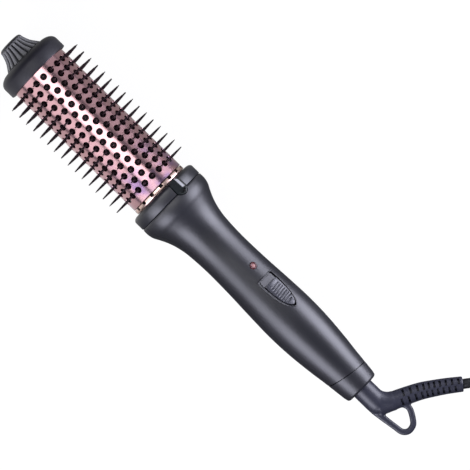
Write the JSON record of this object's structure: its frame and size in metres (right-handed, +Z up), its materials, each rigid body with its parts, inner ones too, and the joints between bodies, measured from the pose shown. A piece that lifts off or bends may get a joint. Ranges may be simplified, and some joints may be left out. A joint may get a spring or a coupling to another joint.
{
  "type": "heated styling brush",
  "caption": "Round heated styling brush with a perforated metal barrel, bristles through its holes, a slide switch and a swivelling mains cord with a hanging loop.",
  "frame": {"origin": "on the surface that the brush lies on, under the middle of the brush without its cord", "axes": "+X along the brush from its nose to its cord, +Z up; the switch faces up, turned 27 degrees towards +Y"},
  "size_m": [0.4837, 0.1118, 0.0545],
  "materials": {
    "black_plastic": "soft satin, charcoal",
    "switch_plastic": "satin, dark grey",
    "gloss_black": "polished black",
    "rose_metal": "rose anodised, satin",
    "peach_metal": "peach anodised",
    "nylon": "moulded nylon",
    "aluminium": "cast",
    "steel": "zinc plated",
    "brass": "bright",
    "ceramic": "fired ceramic and mica",
    "heat_plastic": "heat-resistant moulding",
    "board": "printed circuit laminate",
    "capacitor_blue": "sleeved",
    "red_lens": "clear red moulding",
    "wire_red": "insulated wire",
    "wire_white": "insulated wire",
    "cord_black": "soft PVC",
    "tie_black": "hook-and-loop strap"
  },
  "bodies": {
    "brush": {"tip_nose": "black_plastic", "front_cap": "black_plastic", "cap_screw_upper": "steel", "cap_screw_lower": "steel", "barrel": "rose_metal", "bristle_strip_1": "nylon", "bristle_strip_2": "nylon", "bristle_strip_3": "nylon", "bristle_strip_4": "nylon", "heater_block_upper": "aluminium", "heater_block_lower": "aluminium", "heating_plate": "ceramic", "insulating_sheet_upper": "ceramic", "insulating_sheet_lower": "ceramic", "thermal_fuse": "steel", "temperature_sensor": "ceramic", "barrel_end_ring": "peach_metal", "barrel_mount": "heat_plastic", "collar_ring": "black_plastic", "ion_outlet": "gloss_black", "emitter_needle": "steel", "ion_module": "black_plastic", "handle_upper": "black_plastic", "handle_lower": "black_plastic", "handle_screw_front": "steel", "handle_screw_rear": "steel", "control_board": "board", "board_screw_front": "steel", "board_screw_rear": "steel", "board_capacitor": "capacitor_blue", "triac": "black_plastic", "switch_body": "black_plastic", "indicator_light": "red_lens", "indicator_lens": "red_lens", "heater_lead_live": "wire_red", "heater_lead_neutral": "wire_white", "mains_lead_live": "wire_red", "mains_lead_neutral": "wire_white", "tail_cap": "black_plastic", "swivel_housing": "black_plastic", "contact_spring_live": "brass", "contact_spring_neutral": "brass"},
    "switch": {"switch_slider": "switch_plastic"},
    "cord": {"swivel_spindle": "heat_plastic", "contact_ring_live": "brass", "contact_ring_neutral": "brass", "cord_boot": "cord_black", "cord_lead": "cord_black", "cord_coil": "cord_black", "cord_tie": "tie_black", "cord_tail": "cord_black", "plug_body": "cord_black", "plug_blade_left": "brass", "plug_blade_right": "brass"}
  },
  "joints": [
    {"name": "switch_slide", "type": "slide", "parent": "brush", "child": "switch", "axis": [-1, 0, 0], "range_m": [0, 0.0036]},
    {"name": "cord_swivel", "type": "hinge", "parent": "brush", "child": "cord", "pos_m": [0.12324, -0.00912, 0.027], "axis": [1, 0, 0], "continuous": true}
  ]
}
